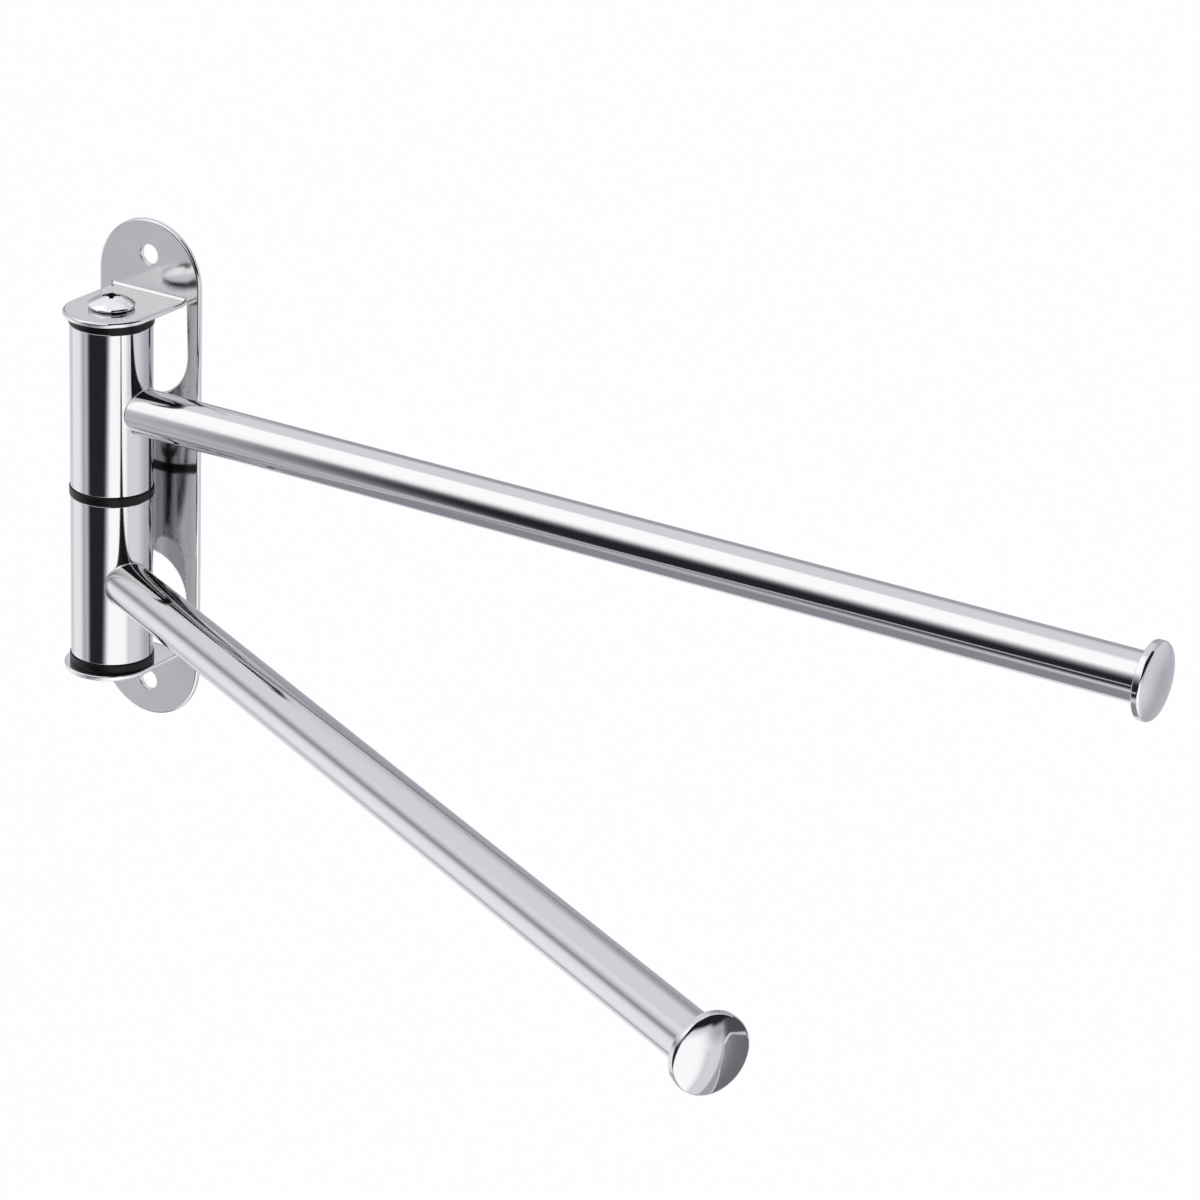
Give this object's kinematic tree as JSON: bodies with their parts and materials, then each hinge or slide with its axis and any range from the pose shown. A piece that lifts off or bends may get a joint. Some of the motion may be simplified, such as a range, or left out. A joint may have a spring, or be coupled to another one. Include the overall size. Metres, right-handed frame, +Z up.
{
  "type": "double towel rail",
  "caption": "Wall bracket with two polished steel towel rails that swing one above the other about one vertical pivot.",
  "frame": {"origin": "centre of the wall plate's back face, halfway between the two wall holes", "axes": "+Z up, along the swing axis; +Y into the wall; +X along the wall, the way the upper rail points at rest"},
  "size_m": [0.3227, 0.1658, 0.1412],
  "materials": {
    "bracket_steel": "polished stainless steel sheet",
    "tube_steel": "mirror-polished stainless steel tube",
    "cap_steel": "mirror-polished stainless steel",
    "screw_steel": "polished screw head",
    "spindle_steel": "turned bar",
    "bush_plastic": "moulded black plastic"
  },
  "bodies": {
    "bracket": {"wall_bracket": "bracket_steel", "pivot_spindle": "spindle_steel", "top_screw": "screw_steel", "bottom_screw": "screw_steel", "top_bush": "bush_plastic", "middle_bush": "bush_plastic", "bottom_bush": "bush_plastic"},
    "upper_arm": {"upper_sleeve": "tube_steel", "upper_rail": "tube_steel", "upper_cap": "cap_steel"},
    "lower_arm": {"lower_sleeve": "tube_steel", "lower_rail": "tube_steel", "lower_cap": "cap_steel"}
  },
  "joints": [
    {"name": "upper_swing", "type": "hinge", "parent": "bracket", "child": "upper_arm", "pos_m": [0, -0.0175, 0.0239], "axis": [0, 0, 1], "range_deg": [-181, 1]},
    {"name": "lower_swing", "type": "hinge", "parent": "bracket", "child": "lower_arm", "pos_m": [0, -0.0175, -0.0239], "axis": [0, 0, 1], "range_deg": [-153.65, 28.35]}
  ]
}
